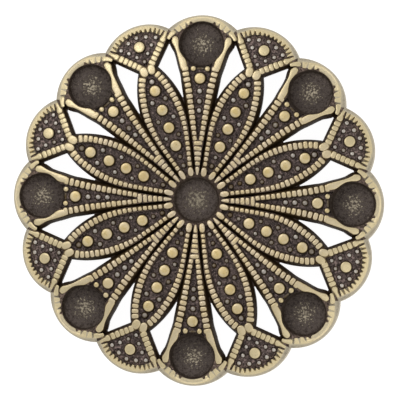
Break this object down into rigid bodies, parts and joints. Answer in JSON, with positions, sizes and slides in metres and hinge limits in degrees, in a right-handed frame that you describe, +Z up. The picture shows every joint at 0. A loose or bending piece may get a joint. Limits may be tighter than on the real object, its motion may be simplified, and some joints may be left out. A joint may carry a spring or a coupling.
{
  "type": "concho",
  "caption": "Round scalloped openwork concho of cast metal, with round stone cups, dotted petals and a tapped boss at the back.",
  "frame": {"origin": "centre of the rest plane under the rim, on the axis of the middle cup and of the tapped hole", "axes": "+Z up through the face, +Y through the middle of one stone cup of the rim, +X through the cup a quarter turn clockwise from it"},
  "size_m": [0.045, 0.045, 0.0051],
  "materials": {
    "antique_brass": "dark antique patina in the recesses, buffed pale on the raised ropes and dots"
  },
  "bodies": {
    "root": {"casting": "antique_brass"}
  },
  "joints": []
}
